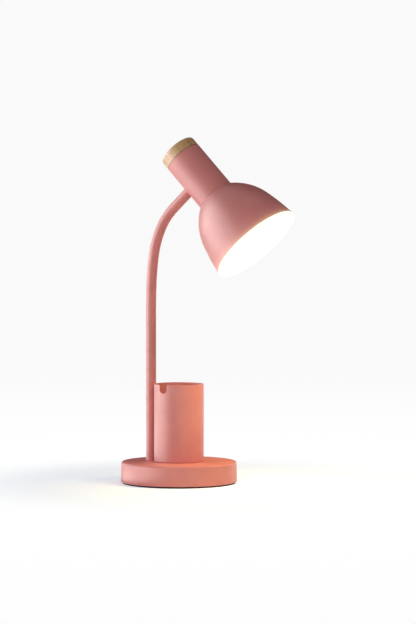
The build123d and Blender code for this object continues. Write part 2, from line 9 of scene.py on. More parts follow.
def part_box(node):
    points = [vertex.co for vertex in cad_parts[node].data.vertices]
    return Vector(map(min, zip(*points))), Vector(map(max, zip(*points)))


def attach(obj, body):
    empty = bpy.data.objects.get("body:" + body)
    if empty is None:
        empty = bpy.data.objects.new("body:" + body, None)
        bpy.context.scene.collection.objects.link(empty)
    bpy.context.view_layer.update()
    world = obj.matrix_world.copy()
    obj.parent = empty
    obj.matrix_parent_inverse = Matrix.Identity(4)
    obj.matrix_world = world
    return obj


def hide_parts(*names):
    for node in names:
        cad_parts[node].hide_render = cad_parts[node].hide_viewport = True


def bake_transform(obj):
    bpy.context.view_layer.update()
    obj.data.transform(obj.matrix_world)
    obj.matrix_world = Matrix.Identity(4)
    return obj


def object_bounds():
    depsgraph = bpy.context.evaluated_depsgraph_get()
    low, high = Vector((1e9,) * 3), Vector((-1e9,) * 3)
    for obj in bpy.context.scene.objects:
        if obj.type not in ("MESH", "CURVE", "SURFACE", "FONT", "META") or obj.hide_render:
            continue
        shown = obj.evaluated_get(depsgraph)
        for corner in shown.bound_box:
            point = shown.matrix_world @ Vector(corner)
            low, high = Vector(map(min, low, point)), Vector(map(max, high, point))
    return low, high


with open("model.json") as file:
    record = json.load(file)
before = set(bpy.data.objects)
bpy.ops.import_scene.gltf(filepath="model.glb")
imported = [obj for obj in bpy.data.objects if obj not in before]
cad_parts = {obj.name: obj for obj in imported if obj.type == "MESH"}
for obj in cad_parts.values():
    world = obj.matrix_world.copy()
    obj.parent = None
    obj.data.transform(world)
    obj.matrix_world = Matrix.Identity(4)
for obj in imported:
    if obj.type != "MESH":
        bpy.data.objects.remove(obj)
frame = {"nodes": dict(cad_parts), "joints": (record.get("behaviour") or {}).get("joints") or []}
cadLow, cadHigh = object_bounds()
nodes = frame["nodes"]
joints = {joint["name"]: joint for joint in frame["joints"]}
scene = bpy.context.scene
scene.view_settings.view_transform = "Standard"
print("lamp frame loaded with", len(nodes), "parts")


# Places along the arm and the head, read from the joints

armJoints = [
    "arm_bend_1", "arm_lean_1", "arm_bend_2", "arm_lean_2", "arm_bend_3", "arm_lean_3", "arm_bend_4"]
linkNumbers = range(1, len(armJoints))
up = Vector((0, 0, 1))
sideways = Vector((0, 1, 0))

head = {
    "neckRadius": 0.025,
    "fittingLength": 0.0293,
    "shadeJoint": 0.0315,
}

hingePoints = [Vector(joints[name]["pos_m"]) for name in armJoints]
hingeTangents = [up]
for here, there in zip(hingePoints, hingePoints[1:]):
    chord = (there - here).normalized()
    tangent = hingeTangents[-1]
    hingeTangents.append(2 * chord.dot(tangent) * chord - tangent)  # an arc is even about its chord

headAxis = Vector(joints["bulb_out"]["axis"]).normalized()
armDirection = hingeTangents[-1]
headCentre = hingePoints[-1] + armDirection * (head["fittingLength"] + head["neckRadius"])
headMatrix = Matrix((armDirection, headAxis.cross(armDirection), headAxis)).transposed().to_4x4()
headMatrix.translation = headCentre


# Small helpers for meshes

def ofKind(kind, geom):
    return [item for item in geom if isinstance(item, kind)]


def ringEdges(verts):
    kept = set(verts)
    return list({edge for vert in verts for edge in vert.link_edges if edge.other_vert(vert) in kept})


def circle(bm, sides, radius, height=0.0, place=None, filled=False):
    place = (place or Matrix()) @ Matrix.Translation((0, 0, height))
    made = bmesh.ops.create_circle(bm, segments=sides, radius=radius, cap_ends=filled, matrix=place)
    return ringEdges(made["verts"])


def bridge(bm, first, second):
    bmesh.ops.bridge_loops(bm, edges=first + second)


def spunVert(bm, vert, centre, angle, steps):
    made = bmesh.ops.spin(bm, geom=[vert], cent=centre, axis=(0, -1, 0), angle=angle, steps=steps)
    return ofKind(bmesh.types.BMVert, made["geom_last"])[0]


def revolved(bm, edges, steps):
    before = set(bm.faces)
    verts = {vert for edge in edges for vert in edge.verts}
    bmesh.ops.spin(
        bm, geom=list(verts) + list(edges), cent=(0, 0, 0), axis=(0, 0, 1),
        angle=math.tau, steps=steps, use_merge=True)
    return [face for face in bm.faces if face not in before]


def meshObject(name, bm, materials):
    mesh = bpy.data.meshes.new(name)
    bm.to_mesh(mesh)
    bm.free()
    for material in materials:
        mesh.materials.append(material)
    made = bpy.data.objects.new(name, mesh)
    scene.collection.objects.link(made)
    return made


def finishPiece(name, bm, finishes, stands, body=None, sharpAngle=32, place=None):
    if place is not None:
        bmesh.ops.transform(bm, matrix=place, verts=bm.verts)
    piece = meshObject(name, bm, finishes)
    piece.data.shade_smooth()
    piece.data.set_sharp_from_angle(angle=math.radians(sharpAngle))
    if stands:
        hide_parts(*stands)
    if body:
        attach(piece, body)
    return piece


# Small helpers for finishes

def srgb(red, green, blue):
    def linear(value):
        value = value / 255
        return value / 12.92 if value <= 0.04045 else ((value + 0.055) / 1.055) ** 2.4
    return (linear(red), linear(green), linear(blue), 1.0)


def treeNode(tree, kind, **settings):
    made = tree.nodes.new(kind)
    for setting, value in settings.items():
        setattr(made, setting, value)
    return made


def mixedShader(tree, factor, first, second):
    mix = treeNode(tree, "ShaderNodeMixShader")
    tree.links.new(factor, mix.inputs["Fac"])
    tree.links.new(first, mix.inputs[1])
    tree.links.new(second, mix.inputs[2])
    return mix.outputs["Shader"]


class Finish:
    def __init__(self, name, sockets):
        self.material = bpy.data.materials.new(name)
        self.material.use_nodes = True
        self.tree = self.material.node_tree
        self.shader = self.tree.nodes["Principled BSDF"]
        for socket, value in sockets.items():
            self.shader.inputs[socket].default_value = value

    def node(self, kind, **settings):
        return treeNode(self.tree, kind, **settings)

    def link(self, source, target):
        self.tree.links.new(source, target)

    def coords(self):
        return self.node("ShaderNodeTexCoord").outputs["Object"]

    def mapped(self, stretch=(1, 1, 1), matrix=None):
        source = self.coords()
        if matrix is not None:
            turn = self.node("ShaderNodeMapping")
            turn.inputs["Rotation"].default_value = matrix.to_euler()
            turn.inputs["Location"].default_value = matrix.translation
            self.link(source, turn.inputs["Vector"])
            source = turn.outputs["Vector"]
        mapping = self.node("ShaderNodeMapping")
        mapping.inputs["Scale"].default_value = stretch
        self.link(source, mapping.inputs["Vector"])
        return mapping.outputs["Vector"]

    def noise(self, size, detail, stretch=(1, 1, 1), matrix=None):
        texture = self.node("ShaderNodeTexNoise")
        texture.inputs["Scale"].default_value = 1 / size
        texture.inputs["Detail"].default_value = detail
        self.link(self.mapped(stretch, matrix), texture.inputs["Vector"])
        return texture.outputs["Fac"]

    def ramp(self, source, *stops):
        made = self.node("ShaderNodeValToRGB")
        while len(made.color_ramp.elements) < len(stops):
            made.color_ramp.elements.new(0.5)
        for element, (position, colour) in zip(made.color_ramp.elements, stops):
            element.position = position
            element.color = colour
        self.link(source, made.inputs["Fac"])
        return made.outputs["Color"]

    def mixed(self, factor, first, second):
        made = self.node("ShaderNodeMix", data_type="RGBA")
        if isinstance(factor, float):
            made.inputs["Factor"].default_value = factor
        else:
            self.link(factor, made.inputs["Factor"])
        self.link(first, made.inputs["A"])
        self.link(second, made.inputs["B"])
        return made.outputs["Result"]

    def ranged(self, source, low, high, fromLow=0.3, fromHigh=0.7):
        made = self.node("ShaderNodeMapRange")
        made.inputs["From Min"].default_value = fromLow
        made.inputs["From Max"].default_value = fromHigh
        made.inputs["To Min"].default_value = low
        made.inputs["To Max"].default_value = high
        self.link(source, made.inputs["Value"])
        return made.outputs["Result"]

    def colour(self, source):
        self.link(source, self.shader.inputs["Base Color"])

    def roughness(self, source, low, high):
        self.link(self.ranged(source, low, high), self.shader.inputs["Roughness"])

    def bump(self, *layers):
        normal = None
        for source, strength, height in layers:
            made = self.node("ShaderNodeBump")
            made.inputs["Strength"].default_value = strength
            made.inputs["Distance"].default_value = height
            self.link(source, made.inputs["Height"])
            if normal is not None:
                self.link(normal, made.inputs["Normal"])
            normal = made.outputs["Normal"]
        self.link(normal, self.shader.inputs["Normal"])


# Finishes: a wide noise shades the colour, a finer one the roughness and the bumps

paintLook = {
    "sockets": {"IOR": 1.45, "Specular IOR Level": 0.5},
    "cloud": {"size": 0.035, "detail": 4},
    "tones": ((0.3, srgb(207, 122, 117)), (0.5, srgb(212, 128, 122)), (0.7, srgb(216, 133, 127))),
    "grain": {"size": 0.0011, "detail": 2},
    "roughness": (0.42, 0.49),
    "bump": (0.10, 0.00008),
    "fineGrain": {"size": 0.00035, "detail": 1},
    "fineBump": (0.12, 0.00003),
}
sleeveLook = {
    "sockets": {"IOR": 1.45, "Specular IOR Level": 0.5},
    "cloud": {"size": 0.02, "detail": 3},
    "tones": ((0.35, srgb(205, 121, 116)), (0.65, srgb(211, 128, 122))),
    "grain": {"size": 0.0005, "detail": 2},
    "roughness": (0.46, 0.54),
    "bump": (0.12, 0.00004),
}
shadeInsideLook = {
    "sockets": {},
    "cloud": {"size": 0.03, "detail": 3},
    "tones": ((0.35, srgb(238, 236, 231)), (0.65, srgb(244, 242, 238))),
    "grain": {"size": 0.0012, "detail": 2},
    "roughness": (0.45, 0.6),
    "bump": (0.12, 0.00006),
}
globeLook = {
    "sockets": {"Emission Color": (1.0, 0.88, 0.66, 1.0), "Emission Strength": 0.4},
    "tones": ((0.35, srgb(197, 191, 178)), (0.65, srgb(206, 201, 190))),
    "grain": {"size": 0.0008, "detail": 2},
    "roughness": (0.3, 0.42),
    "bump": (0.1, 0.00003),
}


def grainy(name, look):
    made = Finish(name, look["sockets"])
    grain = made.noise(**look["grain"])
    cloud = made.noise(**look["cloud"]) if "cloud" in look else grain
    made.colour(made.ramp(cloud, *look["tones"]))
    made.roughness(grain, *look["roughness"])
    layers = [(grain, *look["bump"])]
    if "fineGrain" in look:
        layers.append((made.noise(**look["fineGrain"]), *look["fineBump"]))
    made.bump(*layers)
    return made.material


def metal(name, light, dark, roughness, brush, stretch=(1, 1, 1)):
    return grainy(name, {
        "sockets": {"Metallic": 1.0},
        "cloud": {"size": 0.006, "detail": 3},
        "tones": ((0.3, dark), (0.7, light)),
        "grain": {"size": brush, "detail": 4, "stretch": stretch},
        "roughness": roughness,
        "bump": (0.15, 0.00003),
    })


def moulded(name, light, dark, roughness, grain, height, gloss=0.45):
    return grainy(name, {
        "sockets": {"Specular IOR Level": gloss},
        "cloud": {"size": 0.01, "detail": 3},
        "tones": ((0.3, dark), (0.7, light)),
        "grain": {"size": grain, "detail": 3},
        "roughness": roughness,
        "bump": (0.3, height),
    })


oakTones = {
    "light": srgb(210, 168, 113),
    "mid": srgb(190, 145, 90),
    "dark": srgb(152, 106, 60),
    "pore": srgb(110, 74, 41),
    # the joint tone is painted shade, for the gap between the wood and the neck
    "joint": srgb(92, 62, 40),
}
oakLook = {
    "sockets": {"IOR": 1.5, "Specular IOR Level": 0.75},
    "heart": (0.034, 0.052, 0.0),
    "ringWidth": 0.0042,
    "ringsPerUnit": 3.2,  # of the wave texture at a scale of 1
    "ringWander": 2.2,
    "ringDetail": 2.0,
    "ringDetailScale": 0.6,
    "ringStretch": (1, 1, 0.25),
    "ringTones": ((0.0, oakTones["light"]), (0.55, oakTones["mid"]), (0.92, oakTones["dark"])),
    "fibre": {"size": 0.0009, "detail": 4, "stretch": (1, 1, 0.05)},
    "fibreTones": ((0.36, oakTones["dark"]), (0.62, oakTones["light"])),
    "fibreShare": 0.42,
    "fibreBump": (0.25, 0.00008),
    "cloud": {"size": 0.012, "detail": 2, "stretch": (1, 1, 0.3)},
    "cloudTones": ((0.3, oakTones["mid"]), (0.7, oakTones["light"])),
    "cloudShare": 0.25,
    "pores": {"size": 0.0006, "detail": 2, "stretch": (1, 1, 0.09)},
    "poreTones": ((0.3, oakTones["pore"]), (0.7, oakTones["dark"])),
    "poreLevels": (0.30, 0.37),
    "poreBump": (0.2, 0.00006),
    # painted shade along the gap against the neck
    "gapShadeTones": ((0.4, oakTones["joint"]), (0.7, oakTones["pore"])),
    "gapShadeReach": (-0.0377, -0.0369),
    "gapShadeShare": 0.8,
    "roughness": (0.42, 0.54),
}


def oak():
    wood = Finish("oiledOak", oakLook["sockets"])
    intoHead = headMatrix.inverted()
    fromHeart = Matrix.Translation(oakLook["heart"]) @ intoHead
    rings = wood.node("ShaderNodeTexWave", wave_type="RINGS", rings_direction="Z", wave_profile="SAW")
    rings.inputs["Scale"].default_value = 1 / (oakLook["ringWidth"] * oakLook["ringsPerUnit"])
    rings.inputs["Distortion"].default_value = oakLook["ringWander"]
    rings.inputs["Detail"].default_value = oakLook["ringDetail"]
    rings.inputs["Detail Scale"].default_value = oakLook["ringDetailScale"]
    wood.link(wood.mapped(oakLook["ringStretch"], fromHeart), rings.inputs["Vector"])
    fibre = wood.noise(**oakLook["fibre"], matrix=intoHead)
    cloud = wood.noise(**oakLook["cloud"], matrix=intoHead)
    pores = wood.noise(**oakLook["pores"], matrix=intoHead)
    body = wood.ramp(rings.outputs["Fac"], *oakLook["ringTones"])
    body = wood.mixed(oakLook["fibreShare"], body, wood.ramp(fibre, *oakLook["fibreTones"]))
    body = wood.mixed(oakLook["cloudShare"], body, wood.ramp(cloud, *oakLook["cloudTones"]))
    poreMask = wood.ranged(pores, 1.0, 0.0, *oakLook["poreLevels"])
    body = wood.mixed(poreMask, body, wood.ramp(cloud, *oakLook["poreTones"]))

    # painted shade: the edge against the neck is darker, a painted shadow in the gap between wood and
    # neck
    along = wood.node("ShaderNodeSeparateXYZ")
    wood.link(wood.mapped(matrix=intoHead), along.inputs["Vector"])
    gapShadeMask = wood.ranged(along.outputs["Z"], 0.0, oakLook["gapShadeShare"], *oakLook["gapShadeReach"])
    wood.colour(wood.mixed(gapShadeMask, body, wood.ramp(fibre, *oakLook["gapShadeTones"])))
    wood.roughness(fibre, *oakLook["roughness"])
    wood.bump((fibre, *oakLook["fibreBump"]), (pores, *oakLook["poreBump"]))
    return wood.material


paint = grainy("pinkPaint", paintLook)
sleeveFinish = grainy("pinkSleeve", sleeveLook)
insideFinish = grainy("whiteInside", shadeInsideLook)
diffuser = grainy("litDiffuser", globeLook)
oakFinish = oak()
zinc = metal(
    "zincPlate", light=srgb(200, 202, 203), dark=srgb(176, 178, 178),
    roughness=(0.28, 0.42), brush=0.0006)
castIron = metal(
    "castIron", light=srgb(92, 92, 94), dark=srgb(64, 64, 66),
    roughness=(0.62, 0.8), brush=0.0015)
hoseSteel = metal(
    "woundSteel", light=srgb(190, 191, 193), dark=srgb(160, 161, 164),
    roughness=(0.25, 0.4), brush=0.0008, stretch=(1, 1, 4))
brass = metal(
    "brightBrass", light=srgb(214, 180, 108), dark=srgb(190, 152, 84),
    roughness=(0.22, 0.34), brush=0.0006)
nickel = metal(
    "nickelCap", light=srgb(206, 204, 200), dark=srgb(182, 180, 176),
    roughness=(0.2, 0.32), brush=0.0007)
padFoam = moulded(
    "padFoam", light=srgb(34, 33, 31), dark=srgb(22, 21, 20),
    roughness=(0.85, 0.97), grain=0.0009, height=0.0003, gloss=0.25)
blackMoulded = moulded(
    "blackMoulding", light=srgb(34, 34, 35), dark=srgb(26, 26, 27),
    roughness=(0.42, 0.58), grain=0.0004, height=0.00005)
whiteMoulded = moulded(
    "whiteMoulding", light=srgb(232, 231, 226), dark=srgb(222, 220, 214),
    roughness=(0.4, 0.55), grain=0.0005, height=0.00005)
jacket = moulded(
    "leadJacket", light=srgb(222, 221, 216), dark=srgb(208, 206, 200),
    roughness=(0.42, 0.52), grain=0.0006, height=0.00004)
housingWhite = moulded(
    "bulbHousing", light=srgb(238, 237, 233), dark=srgb(230, 228, 222),
    roughness=(0.3, 0.42), grain=0.0007, height=0.00003)
markWhite = moulded(
    "switchMark", light=srgb(228, 228, 224), dark=srgb(214, 214, 210),
    roughness=(0.5, 0.6), grain=0.0004, height=0.00002)
print("finishes ready")

finishOfNode = {
    "base_cover": paint, "pen_cup": paint, "neck_tube": paint, "head_fitting": paint, "arm_foot": paint,
    "base_weight": castIron, "base_plate": zinc, "foot_pad": padFoam,
    "cord_gland": blackMoulded, "switch_housing": blackMoulded, "switch_rocker": blackMoulded,
    "switch_tabs": brass, "switch_leads": jacket, "terminal_block": whiteMoulded,
    "cup_washer": zinc, "cup_nut": zinc, "arm_foot_washer": zinc, "arm_foot_nut": zinc,
    "hose_base": hoseSteel, "lamp_lead_base": jacket, "head_washer": zinc, "head_nut": zinc,
    "wood_cap": oakFinish, "wood_cap_screw": zinc,
    "lampholder_body": blackMoulded, "lampholder_shell": brass, "lampholder_contact": brass,
    "lamp_lead_head": jacket, "bulb_insulator": blackMoulded, "bulb_tip": brass,
    "bulb_housing": housingWhite, "bulb_board": zinc, "bulb_globe": diffuser,
}
for number in linkNumbers:
    finishOfNode["hose_%d" % number] = hoseSteel
    finishOfNode["lamp_lead_%d" % number] = jacket
for name, finish in finishOfNode.items():
    mesh = nodes[name].data
    mesh.materials.clear()
    mesh.materials.append(finish)
print("finishes on", len(finishOfNode), "frame parts")


# Arm sleeve: one smooth tube, cut in the middle of each link so that every piece reaches over one joint

sleeve = {
    "radius": 0.00655,
    "wall": 0.0013,
    "sides": 56,
    "ringStep": 0.0018,
    "plainStep": 0.006,
    "bendReach": 0.0168,
    "neckBite": 0.0004,
    "straightTurn": 0.001,
    "sharpAngle": 60,
}
sleeveNodes = ["sleeve_base"] + ["sleeve_%d" % number for number in linkNumbers]


def growStraight(bm, edges, run, step):
    steps = max(1, round(run.length / step))
    for count in range(steps):
        verts = ofKind(bmesh.types.BMVert, bmesh.ops.extrude_edge_only(bm, edges=edges)["geom"])
        bmesh.ops.translate(bm, verts=verts, vec=run / steps)
        edges = ringEdges(verts)
    return edges


def arcCentre(here, tangent, radius):
    towards = Matrix.Rotation(math.pi / 2, 3, "Y") @ tangent
    return here + towards * radius


def growArc(bm, edges, here, tangent, length, turn):
    verts = list({vert for edge in edges for vert in edge.verts})
    made = bmesh.ops.spin(
        bm, geom=verts + edges, cent=arcCentre(here, tangent, length / turn), axis=sideways, angle=turn,
        steps=max(1, round(length / sleeve["ringStep"])))
    return ofKind(bmesh.types.BMEdge, made["geom_last"])


def linkTurn(number):
    return hingeTangents[number].angle(hingeTangents[number + 1], 0.0)


def linkIsStraight(number):
    return linkTurn(number) < sleeve["straightTurn"]


def linkLength(number):
    chord = (hingePoints[number + 1] - hingePoints[number]).length
    if linkIsStraight(number):
        return chord
    half = linkTurn(number) / 2
    return chord * half / math.sin(half)


def growHalfLink(bm, edges, here, tangent, number):
    half = linkLength(number) / 2
    if linkIsStraight(number):
        return growStraight(bm, edges, tangent * half, sleeve["ringStep"])
    return growArc(bm, edges, here, tangent, half, linkTurn(number) / 2)


def linkMiddle(number):
    here, tangent = hingePoints[number], hingeTangents[number]
    half = linkLength(number) / 2
    if linkIsStraight(number):
        return here + tangent * half, tangent
    turn = linkTurn(number) / 2
    centre = arcCentre(here, tangent, half / turn)
    turned = Matrix.Rotation(turn, 3, "Y")
    return centre + turned @ (here - centre), turned @ tangent


def startRing(bm, point, tangent):
    place = Matrix.Translation(point) @ up.rotation_difference(tangent).to_matrix().to_4x4()
    return circle(bm, sleeve["sides"], sleeve["radius"], place=place)


def seatOnNeck(edges):
    fromHead = headMatrix.inverted()
    for vert in {vert for edge in edges for vert in edge.verts}:
        local = fromHead @ vert.co
        local.x = sleeve["neckBite"] - math.sqrt(head["neckRadius"] ** 2 - local.y ** 2)
        vert.co = headMatrix @ local


for index, (hinge, tangent) in enumerate(zip(hingePoints, hingeTangents)):
    bm = bmesh.new()
    reach = tangent * sleeve["bendReach"]
    if index == 0:
        foot = Vector((hinge.x, hinge.y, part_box("sleeve_base")[0].z))
        edges = startRing(bm, foot, tangent)
        edges = growStraight(bm, edges, (hinge - foot) - reach, sleeve["plainStep"])
        edges = growStraight(bm, edges, reach, sleeve["ringStep"])
    else:
        middle, middleTangent = linkMiddle(index - 1)
        edges = startRing(bm, middle, middleTangent)
        edges = growHalfLink(bm, edges, middle, middleTangent, index - 1)
    if index < len(armJoints) - 1:
        edges = growHalfLink(bm, edges, hinge, tangent, index)
    else:
        edges = growStraight(bm, edges, armDirection * head["fittingLength"], sleeve["ringStep"])
        seatOnNeck(edges)
    bmesh.ops.recalc_face_normals(bm, faces=bm.faces)
    bmesh.ops.solidify(bm, geom=bm.faces, thickness=sleeve["wall"])
    piece = finishPiece(
        "armSleeve_%d" % (index + 1), bm, [sleeveFinish], sleeveNodes[index:index + 2],
        sharpAngle=sleeve["sharpAngle"])
    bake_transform(piece)
print("arm sleeve in", len(armJoints), "pieces")


# Shade: a spun shell with pink paint outside, and white paint inside and round the rim

shade = {
    "crownAngle": 53.4,
    "crownRadius": 0.0757,
    "crownSweep": 39.1,
    "rimRadius": 0.0608,
    "depth": 0.083,
    "wall": 0.001,
    "holderHole": 0.0200,
    "sides": 144,
    "crownSteps": 26,
    "skirtSteps": 20,
    "rimSteps": 10,
    "weld": 1e-6,
}


def makeShade():
    bm = bmesh.new()
    start = Vector((head["neckRadius"], 0, head["shadeJoint"]))
    angle = math.radians(shade["crownAngle"])
    away = Vector((math.sin(angle), 0, math.cos(angle)))
    inward = Vector((-away.z, 0, away.x))
    crownCentre = start + inward * shade["crownRadius"]
    sweep = math.radians(shade["crownSweep"])
    turned = Matrix.Rotation(-sweep, 3, "Y")
    crownEnd = crownCentre + turned @ (start - crownCentre)
    skirtInward = turned @ inward
    rim = Vector((shade["rimRadius"], 0, head["shadeJoint"] + shade["depth"]))
    span = rim - crownEnd
    skirtRadius = span.length_squared / (2 * span.dot(skirtInward))  # the arc goes on from the crown
    skirtCentre = crownEnd + skirtInward * skirtRadius
    rimRound = shade["wall"] / 2
    skirtSweep = 2 * math.asin(span.length / (2 * skirtRadius)) - rimRound / skirtRadius

    outer = bm.verts.new(start)
    outerEnd = spunVert(bm, outer, crownCentre, sweep, shade["crownSteps"])
    outerEnd = spunVert(bm, outerEnd, skirtCentre, skirtSweep, shade["skirtSteps"])
    outside = list(bm.edges)
    rimInward = (skirtCentre - outerEnd.co).normalized()
    rimCentre = outerEnd.co + rimInward * rimRound
    innerEnd = spunVert(bm, outerEnd, rimCentre, math.pi, shade["rimSteps"])
    innerEnd = spunVert(bm, innerEnd, skirtCentre, -skirtSweep, shade["skirtSteps"])
    innerEnd = spunVert(bm, innerEnd, crownCentre, -sweep, shade["crownSteps"])
    flangeFront = bm.verts.new((shade["holderHole"], 0, head["shadeJoint"] + shade["wall"]))
    flangeBack = bm.verts.new((shade["holderHole"], 0, head["shadeJoint"]))
    bm.edges.new((innerEnd, flangeFront))
    bm.edges.new((flangeFront, flangeBack))
    bm.edges.new((flangeBack, outer))
    inside = [edge for edge in bm.edges if edge not in outside]
    revolved(bm, outside, shade["sides"])
    for face in revolved(bm, inside, shade["sides"]):
        face.material_index = 1
    bmesh.ops.remove_doubles(bm, verts=bm.verts, dist=shade["weld"])
    bmesh.ops.recalc_face_normals(bm, faces=bm.faces)
    return finishPiece(
        "lampShade", bm, [paint, insideFinish], ["shade"], "head", place=headMatrix)


lampShade = makeShade()
print("shade spun")


# Clamp ring of the lampholder, with grip ribs round its edge

clampRing = {
    "outer": 0.0239,
    "inner": 0.01965,
    "seat": 0.0325,
    "height": 0.005,
    "ribs": 48,
    "ribDepth": 0.0006,
    "ribInset": 0.0002,
}


def makeClampRing():
    bm = bmesh.new()
    sides = clampRing["ribs"] * 2
    low = clampRing["seat"]
    high = low + clampRing["height"]
    rim = clampRing["outer"] - clampRing["ribDepth"]
    outerLow = circle(bm, sides, rim, low)
    outerHigh = circle(bm, sides, rim, high)
    innerHigh = circle(bm, sides, clampRing["inner"], high)
    innerLow = circle(bm, sides, clampRing["inner"], low)
    bridge(bm, outerLow, outerHigh)
    wall = list(bm.faces)
    bridge(bm, outerHigh, innerHigh)
    bridge(bm, innerHigh, innerLow)
    bridge(bm, innerLow, outerLow)
    bmesh.ops.recalc_face_normals(bm, faces=bm.faces)
    wall.sort(key=lambda face: math.atan2(face.calc_center_median().y, face.calc_center_median().x))
    bmesh.ops.inset_individual(
        bm, faces=wall[::2], thickness=clampRing["ribInset"], depth=clampRing["ribDepth"])
    return finishPiece(
        "shadeClampRing", bm, [blackMoulded], ["shade_ring"], "head", place=headMatrix)


makeClampRing()
print("clamp ring ribbed")


# Bulb cap with a rolled thread

bulbCap = {
    "front": 0.0456,
    "length": 0.024,
    "radius": 0.0131,
    "threadDepth": 0.0007,
    "turns": 6,
    "wall": 0.0005,
    "sides": 64,
    "stepsPerTurn": 8,
    "weld": 1e-5,
}


def makeBulbCap():
    bm = bmesh.new()
    pitch = bulbCap["length"] / bulbCap["turns"]
    back = bulbCap["front"] - bulbCap["length"]
    count = (bulbCap["turns"] + 2) * bulbCap["stepsPerTurn"]  # a turn more at each end, cut off below
    rise = pitch / bulbCap["stepsPerTurn"]
    meanRadius = bulbCap["radius"] - bulbCap["threadDepth"] / 2
    profile = []
    for step in range(count + 1):
        wave = math.cos(math.tau * step / bulbCap["stepsPerTurn"]) * bulbCap["threadDepth"] / 2
        profile.append(bm.verts.new((meanRadius + wave, 0, back - pitch + step * rise)))
    edges = [bm.edges.new(pair) for pair in zip(profile, profile[1:])]
    bmesh.ops.spin(
        bm, geom=profile + edges, cent=(0, 0, 0), axis=(0, 0, 1), angle=math.tau,
        dvec=(0, 0, pitch / bulbCap["sides"]), steps=bulbCap["sides"])
    bmesh.ops.remove_doubles(bm, verts=bm.verts, dist=bulbCap["weld"])
    for level, normal in ((back, (0, 0, -1)), (bulbCap["front"], (0, 0, 1))):
        geom = list(bm.verts) + list(bm.edges) + list(bm.faces)
        bmesh.ops.bisect_plane(bm, geom=geom, plane_co=(0, 0, level), plane_no=normal, clear_outer=True)
    bmesh.ops.recalc_face_normals(bm, faces=bm.faces)
    bmesh.ops.solidify(bm, geom=bm.faces, thickness=bulbCap["wall"])
    return finishPiece("bulbThread", bm, [nickel], ["bulb_cap"], "bulb", place=headMatrix)


makeBulbCap()
print("bulb thread rolled")


# Raised marks on the rocker: a bar on the half that is pressed, a ring on the other

switchMarks = {
    "tilt": 10.0,
    "rise": 0.0018,
    "reach": 0.0030,
    "height": 0.00012,
    "sunk": 0.00006,
    "bar": (0.0006, 0.0029),
    "ringRadius": 0.0014,
    "ringWall": 0.0005,
    "ringSides": 40,
    "edge": 0.00004,
    "edgeTurn": 1.0,
    "sharpAngle": 50,
}


def rockerFace(half):
    pivot = Vector(joints["switch_rock"]["pos_m"])
    outward = Vector((pivot.x, pivot.y, 0)).normalized()
    place = Matrix((up.cross(outward), up, outward)).transposed().to_4x4()
    place.translation = pivot
    tilt = math.radians(switchMarks["tilt"])
    reach = switchMarks["reach"]
    spot = Matrix.Translation((half * reach, 0, switchMarks["rise"] + reach * math.tan(tilt)))
    return place @ Matrix.Rotation(tilt, 4, "Y") @ spot @ Matrix.Rotation(-half * tilt, 4, "Y")


def makeSwitchMarks():
    bm = bmesh.new()
    low, high = -switchMarks["sunk"], switchMarks["height"]
    bar = bmesh.ops.create_cube(bm, size=1.0)["verts"]
    bmesh.ops.scale(bm, vec=(*switchMarks["bar"], high - low), verts=bar)
    bmesh.ops.translate(bm, vec=(0, 0, (high + low) / 2), verts=bar)
    bmesh.ops.transform(bm, matrix=rockerFace(1), verts=bar)
    outer = switchMarks["ringRadius"]
    inner = outer - switchMarks["ringWall"]
    before = set(bm.verts)
    rings = []
    for radius, height in ((outer, low), (outer, high), (inner, high), (inner, low)):
        rings.append(circle(bm, switchMarks["ringSides"], radius, height))
    for first, second in zip(rings, rings[1:] + rings[:1]):
        bridge(bm, first, second)
    ring = [vert for vert in bm.verts if vert not in before]
    bmesh.ops.transform(bm, matrix=rockerFace(-1), verts=ring)
    bmesh.ops.recalc_face_normals(bm, faces=bm.faces)
    sharp = [edge for edge in bm.edges if edge.calc_face_angle(0) > switchMarks["edgeTurn"]]
    bmesh.ops.bevel(
        bm, geom=sharp, offset=switchMarks["edge"], affect="EDGES", segments=2, profile=0.5, material=-1)
    return finishPiece(
        "switchMarks", bm, [markWhite], [], "rocker",
        sharpAngle=switchMarks["sharpAngle"])


makeSwitchMarks()
print("switch marked")


# Screws with a domed head and a hexagon socket

screwForm = {
    "sides": 36,
    "domeShare": 0.55,
    "domePull": 1.4,
    "domeSteps": 5,
    "socketSides": 6,
    "mouthShare": 1.18,
    "mouthDepth": 0.00015,
}
plateScrew = {
    "headRadius": 0.0036,
    "headHeight": 0.0015,
    "shankRadius": 0.002,
    "shankLength": 0.0102,
    "socketRadius": 0.0015,
    "socketDepth": 0.0009,
    "angles": (0, 105, -105),
}
cupBolt = {
    "headRadius": 0.0048,
    "headHeight": 0.0026,
    "shankRadius": 0.0025,
    "socketRadius": 0.0018,
    "socketDepth": 0.0015,
}


def socketScrew(bm, sizes, shankLength):
    # built head up, with the head seated on z 0
    before = set(bm.verts)
    sides = screwForm["sides"]
    headRadius = sizes["headRadius"]
    socketSides = screwForm["socketSides"]
    socketRadius = sizes["socketRadius"]
    top = sizes["headHeight"]
    dome = top * screwForm["domeShare"]
    rings = [
        circle(bm, sides, sizes["shankRadius"], -shankLength, filled=True),
        circle(bm, sides, sizes["shankRadius"]),
        circle(bm, sides, headRadius),
        circle(bm, sides, headRadius, top - dome),
    ]
    for step in range(1, screwForm["domeSteps"] + 1):
        turn = math.pi / 2 * step / screwForm["domeSteps"]
        radius = headRadius - dome * (1 - math.cos(turn)) * screwForm["domePull"]
        rings.append(circle(bm, sides, radius, top - dome + dome * math.sin(turn)))
    rings.append(circle(bm, sides, socketRadius * screwForm["mouthShare"], top))
    rings.append(circle(bm, socketSides, socketRadius, top - screwForm["mouthDepth"]))
    rings.append(circle(bm, socketSides, socketRadius, top - sizes["socketDepth"], filled=True))
    for first, second in zip(rings, rings[1:]):
        bridge(bm, first, second)
    return [vert for vert in bm.verts if vert not in before]


